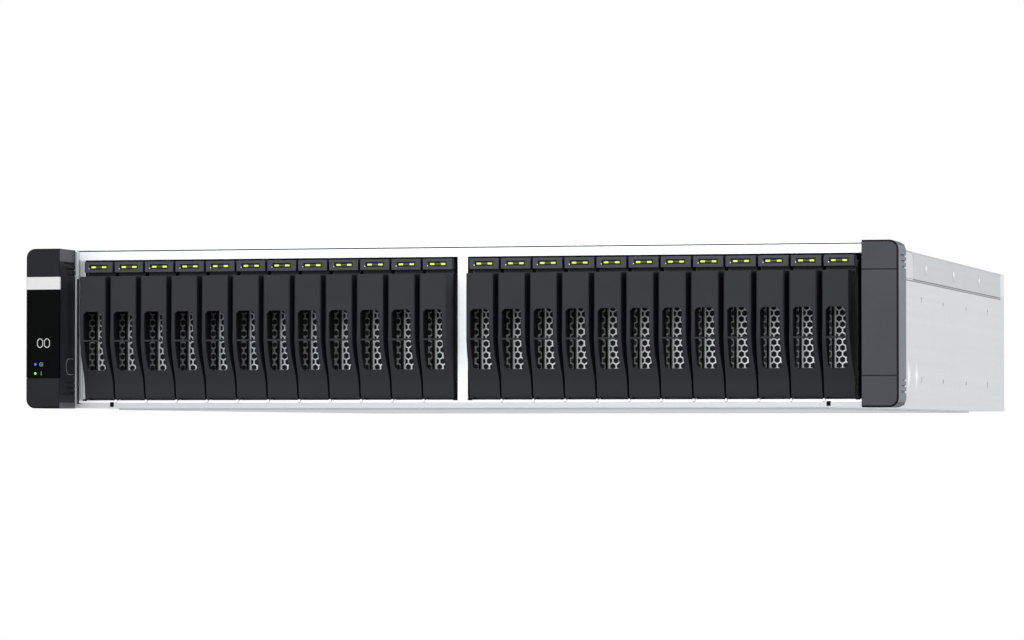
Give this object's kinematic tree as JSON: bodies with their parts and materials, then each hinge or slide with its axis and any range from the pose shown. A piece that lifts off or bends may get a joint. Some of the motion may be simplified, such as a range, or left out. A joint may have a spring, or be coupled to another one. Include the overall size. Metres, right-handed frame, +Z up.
{
  "type": "rackmount storage server",
  "caption": "Low two-unit rack server with rows of pull-out drive trays, curved release levers, moulded rack ears and plug-in controllers and power modules at the back.",
  "frame": {"origin": "under the middle of the overall box, on the surface the case stands on", "axes": "+X to the right seen from the front, +Y to the back, +Z up"},
  "size_m": [0.4826, 0.567, 0.0889],
  "materials": {
    "bright_steel": "zinc plated sheet, fine satin",
    "ear_plastic": "finely textured moulding",
    "ear_plastic_grey": "finely textured moulding",
    "display_glass": "polished black panel",
    "circuit_board": "solder mask",
    "module_steel": "zinc plated sheet",
    "tray_alloy": "dark anodised carrier round a metal drive",
    "lever_plastic": "satin moulding"
  },
  "bodies": {
    "chassis": {"chassis_tub": "bright_steel", "drive_cage": "bright_steel", "left_ear_cover": "ear_plastic", "right_ear_cover": "ear_plastic_grey", "display_window": "display_glass", "midplane_board": "circuit_board"},
    "cover": {"top_cover": "bright_steel"},
    "button": {"ear_button": "ear_plastic"},
    "controller_upper": {"controller_upper": "module_steel"},
    "controller_lower": {"controller_lower": "module_steel"},
    "power_left": {"power_supply_left": "module_steel"},
    "power_right": {"power_supply_right": "module_steel"},
    "tray_01": {"drive_tray_01": "tray_alloy"},
    "lever_01": {"tray_lever_01": "lever_plastic"},
    "tray_02": {"drive_tray_02": "tray_alloy"},
    "lever_02": {"tray_lever_02": "lever_plastic"},
    "tray_03": {"drive_tray_03": "tray_alloy"},
    "lever_03": {"tray_lever_03": "lever_plastic"},
    "tray_04": {"drive_tray_04": "tray_alloy"},
    "lever_04": {"tray_lever_04": "lever_plastic"},
    "tray_05": {"drive_tray_05": "tray_alloy"},
    "lever_05": {"tray_lever_05": "lever_plastic"},
    "tray_06": {"drive_tray_06": "tray_alloy"},
    "lever_06": {"tray_lever_06": "lever_plastic"},
    "tray_07": {"drive_tray_07": "tray_alloy"},
    "lever_07": {"tray_lever_07": "lever_plastic"},
    "tray_08": {"drive_tray_08": "tray_alloy"},
    "lever_08": {"tray_lever_08": "lever_plastic"},
    "tray_09": {"drive_tray_09": "tray_alloy"},
    "lever_09": {"tray_lever_09": "lever_plastic"},
    "tray_10": {"drive_tray_10": "tray_alloy"},
    "lever_10": {"tray_lever_10": "lever_plastic"},
    "tray_11": {"drive_tray_11": "tray_alloy"},
    "lever_11": {"tray_lever_11": "lever_plastic"},
    "tray_12": {"drive_tray_12": "tray_alloy"},
    "lever_12": {"tray_lever_12": "lever_plastic"},
    "tray_13": {"drive_tray_13": "tray_alloy"},
    "lever_13": {"tray_lever_13": "lever_plastic"},
    "tray_14": {"drive_tray_14": "tray_alloy"},
    "lever_14": {"tray_lever_14": "lever_plastic"},
    "tray_15": {"drive_tray_15": "tray_alloy"},
    "lever_15": {"tray_lever_15": "lever_plastic"},
    "tray_16": {"drive_tray_16": "tray_alloy"},
    "lever_16": {"tray_lever_16": "lever_plastic"},
    "tray_17": {"drive_tray_17": "tray_alloy"},
    "lever_17": {"tray_lever_17": "lever_plastic"},
    "tray_18": {"drive_tray_18": "tray_alloy"},
    "lever_18": {"tray_lever_18": "lever_plastic"},
    "tray_19": {"drive_tray_19": "tray_alloy"},
    "lever_19": {"tray_lever_19": "lever_plastic"},
    "tray_20": {"drive_tray_20": "tray_alloy"},
    "lever_20": {"tray_lever_20": "lever_plastic"},
    "tray_21": {"drive_tray_21": "tray_alloy"},
    "lever_21": {"tray_lever_21": "lever_plastic"},
    "tray_22": {"drive_tray_22": "tray_alloy"},
    "lever_22": {"tray_lever_22": "lever_plastic"},
    "tray_23": {"drive_tray_23": "tray_alloy"},
    "lever_23": {"tray_lever_23": "lever_plastic"},
    "tray_24": {"drive_tray_24": "tray_alloy"},
    "lever_24": {"tray_lever_24": "lever_plastic"}
  },
  "joints": [
    {"name": "cover_lift", "type": "slide", "parent": "chassis", "child": "cover", "axis": [0, 0, 1], "range_m": [0, 0.03]},
    {"name": "button_press", "type": "slide", "parent": "chassis", "child": "button", "axis": [-1, 0, 0], "range_m": [0, 0.0015], "stiffness_N_per_m": 2500, "springref_m": -0.0004},
    {"name": "controller_upper_slide", "type": "slide", "parent": "chassis", "child": "controller_upper", "axis": [0, 1, 0], "range_m": [0, 0.4]},
    {"name": "controller_lower_slide", "type": "slide", "parent": "chassis", "child": "controller_lower", "axis": [0, 1, 0], "range_m": [0, 0.4]},
    {"name": "power_left_slide", "type": "slide", "parent": "chassis", "child": "power_left", "axis": [0, 1, 0], "range_m": [0, 0.4]},
    {"name": "power_right_slide", "type": "slide", "parent": "chassis", "child": "power_right", "axis": [0, 1, 0], "range_m": [0, 0.4]},
    {"name": "tray_01_slide", "type": "slide", "parent": "chassis", "child": "tray_01", "axis": [0, -1, 0], "range_m": [0, 0.14]},
    {"name": "lever_01_hinge", "type": "hinge", "parent": "tray_01", "child": "lever_01", "pos_m": [-0.2064, -0.2585, 0.009], "axis": [1, 0, 0], "range_deg": [0, 50]},
    {"name": "tray_02_slide", "type": "slide", "parent": "chassis", "child": "tray_02", "axis": [0, -1, 0], "range_m": [0, 0.14]},
    {"name": "lever_02_hinge", "type": "hinge", "parent": "tray_02", "child": "lever_02", "pos_m": [-0.18882, -0.2585, 0.009], "axis": [1, 0, 0], "range_deg": [0, 50]},
    {"name": "tray_03_slide", "type": "slide", "parent": "chassis", "child": "tray_03", "axis": [0, -1, 0], "range_m": [0, 0.14]},
    {"name": "lever_03_hinge", "type": "hinge", "parent": "tray_03", "child": "lever_03", "pos_m": [-0.17124, -0.2585, 0.009], "axis": [1, 0, 0], "range_deg": [0, 50]},
    {"name": "tray_04_slide", "type": "slide", "parent": "chassis", "child": "tray_04", "axis": [0, -1, 0], "range_m": [0, 0.14]},
    {"name": "lever_04_hinge", "type": "hinge", "parent": "tray_04", "child": "lever_04", "pos_m": [-0.15366, -0.2585, 0.009], "axis": [1, 0, 0], "range_deg": [0, 50]},
    {"name": "tray_05_slide", "type": "slide", "parent": "chassis", "child": "tray_05", "axis": [0, -1, 0], "range_m": [0, 0.14]},
    {"name": "lever_05_hinge", "type": "hinge", "parent": "tray_05", "child": "lever_05", "pos_m": [-0.13608, -0.2585, 0.009], "axis": [1, 0, 0], "range_deg": [0, 50]},
    {"name": "tray_06_slide", "type": "slide", "parent": "chassis", "child": "tray_06", "axis": [0, -1, 0], "range_m": [0, 0.14]},
    {"name": "lever_06_hinge", "type": "hinge", "parent": "tray_06", "child": "lever_06", "pos_m": [-0.1185, -0.2585, 0.009], "axis": [1, 0, 0], "range_deg": [0, 50]},
    {"name": "tray_07_slide", "type": "slide", "parent": "chassis", "child": "tray_07", "axis": [0, -1, 0], "range_m": [0, 0.14]},
    {"name": "lever_07_hinge", "type": "hinge", "parent": "tray_07", "child": "lever_07", "pos_m": [-0.10092, -0.2585, 0.009], "axis": [1, 0, 0], "range_deg": [0, 50]},
    {"name": "tray_08_slide", "type": "slide", "parent": "chassis", "child": "tray_08", "axis": [0, -1, 0], "range_m": [0, 0.14]},
    {"name": "lever_08_hinge", "type": "hinge", "parent": "tray_08", "child": "lever_08", "pos_m": [-0.08334, -0.2585, 0.009], "axis": [1, 0, 0], "range_deg": [0, 50]},
    {"name": "tray_09_slide", "type": "slide", "parent": "chassis", "child": "tray_09", "axis": [0, -1, 0], "range_m": [0, 0.14]},
    {"name": "lever_09_hinge", "type": "hinge", "parent": "tray_09", "child": "lever_09", "pos_m": [-0.06576, -0.2585, 0.009], "axis": [1, 0, 0], "range_deg": [0, 50]},
    {"name": "tray_10_slide", "type": "slide", "parent": "chassis", "child": "tray_10", "axis": [0, -1, 0], "range_m": [0, 0.14]},
    {"name": "lever_10_hinge", "type": "hinge", "parent": "tray_10", "child": "lever_10", "pos_m": [-0.04818, -0.2585, 0.009], "axis": [1, 0, 0], "range_deg": [0, 50]},
    {"name": "tray_11_slide", "type": "slide", "parent": "chassis", "child": "tray_11", "axis": [0, -1, 0], "range_m": [0, 0.14]},
    {"name": "lever_11_hinge", "type": "hinge", "parent": "tray_11", "child": "lever_11", "pos_m": [-0.0306, -0.2585, 0.009], "axis": [1, 0, 0], "range_deg": [0, 50]},
    {"name": "tray_12_slide", "type": "slide", "parent": "chassis", "child": "tray_12", "axis": [0, -1, 0], "range_m": [0, 0.14]},
    {"name": "lever_12_hinge", "type": "hinge", "parent": "tray_12", "child": "lever_12", "pos_m": [-0.01302, -0.2585, 0.009], "axis": [1, 0, 0], "range_deg": [0, 50]},
    {"name": "tray_13_slide", "type": "slide", "parent": "chassis", "child": "tray_13", "axis": [0, -1, 0], "range_m": [0, 0.14]},
    {"name": "lever_13_hinge", "type": "hinge", "parent": "tray_13", "child": "lever_13", "pos_m": [0.01302, -0.2585, 0.009], "axis": [1, 0, 0], "range_deg": [0, 50]},
    {"name": "tray_14_slide", "type": "slide", "parent": "chassis", "child": "tray_14", "axis": [0, -1, 0], "range_m": [0, 0.14]},
    {"name": "lever_14_hinge", "type": "hinge", "parent": "tray_14", "child": "lever_14", "pos_m": [0.0306, -0.2585, 0.009], "axis": [1, 0, 0], "range_deg": [0, 50]},
    {"name": "tray_15_slide", "type": "slide", "parent": "chassis", "child": "tray_15", "axis": [0, -1, 0], "range_m": [0, 0.14]},
    {"name": "lever_15_hinge", "type": "hinge", "parent": "tray_15", "child": "lever_15", "pos_m": [0.04818, -0.2585, 0.009], "axis": [1, 0, 0], "range_deg": [0, 50]},
    {"name": "tray_16_slide", "type": "slide", "parent": "chassis", "child": "tray_16", "axis": [0, -1, 0], "range_m": [0, 0.14]},
    {"name": "lever_16_hinge", "type": "hinge", "parent": "tray_16", "child": "lever_16", "pos_m": [0.06576, -0.2585, 0.009], "axis": [1, 0, 0], "range_deg": [0, 50]},
    {"name": "tray_17_slide", "type": "slide", "parent": "chassis", "child": "tray_17", "axis": [0, -1, 0], "range_m": [0, 0.14]},
    {"name": "lever_17_hinge", "type": "hinge", "parent": "tray_17", "child": "lever_17", "pos_m": [0.08334, -0.2585, 0.009], "axis": [1, 0, 0], "range_deg": [0, 50]},
    {"name": "tray_18_slide", "type": "slide", "parent": "chassis", "child": "tray_18", "axis": [0, -1, 0], "range_m": [0, 0.14]},
    {"name": "lever_18_hinge", "type": "hinge", "parent": "tray_18", "child": "lever_18", "pos_m": [0.10092, -0.2585, 0.009], "axis": [1, 0, 0], "range_deg": [0, 50]},
    {"name": "tray_19_slide", "type": "slide", "parent": "chassis", "child": "tray_19", "axis": [0, -1, 0], "range_m": [0, 0.14]},
    {"name": "lever_19_hinge", "type": "hinge", "parent": "tray_19", "child": "lever_19", "pos_m": [0.1185, -0.2585, 0.009], "axis": [1, 0, 0], "range_deg": [0, 50]},
    {"name": "tray_20_slide", "type": "slide", "parent": "chassis", "child": "tray_20", "axis": [0, -1, 0], "range_m": [0, 0.14]},
    {"name": "lever_20_hinge", "type": "hinge", "parent": "tray_20", "child": "lever_20", "pos_m": [0.13608, -0.2585, 0.009], "axis": [1, 0, 0], "range_deg": [0, 50]},
    {"name": "tray_21_slide", "type": "slide", "parent": "chassis", "child": "tray_21", "axis": [0, -1, 0], "range_m": [0, 0.14]},
    {"name": "lever_21_hinge", "type": "hinge", "parent": "tray_21", "child": "lever_21", "pos_m": [0.15366, -0.2585, 0.009], "axis": [1, 0, 0], "range_deg": [0, 50]},
    {"name": "tray_22_slide", "type": "slide", "parent": "chassis", "child": "tray_22", "axis": [0, -1, 0], "range_m": [0, 0.14]},
    {"name": "lever_22_hinge", "type": "hinge", "parent": "tray_22", "child": "lever_22", "pos_m": [0.17124, -0.2585, 0.009], "axis": [1, 0, 0], "range_deg": [0, 50]},
    {"name": "tray_23_slide", "type": "slide", "parent": "chassis", "child": "tray_23", "axis": [0, -1, 0], "range_m": [0, 0.14]},
    {"name": "lever_23_hinge", "type": "hinge", "parent": "tray_23", "child": "lever_23", "pos_m": [0.18882, -0.2585, 0.009], "axis": [1, 0, 0], "range_deg": [0, 50]},
    {"name": "tray_24_slide", "type": "slide", "parent": "chassis", "child": "tray_24", "axis": [0, -1, 0], "range_m": [0, 0.14]},
    {"name": "lever_24_hinge", "type": "hinge", "parent": "tray_24", "child": "lever_24", "pos_m": [0.2064, -0.2585, 0.009], "axis": [1, 0, 0], "range_deg": [0, 50]}
  ]
}
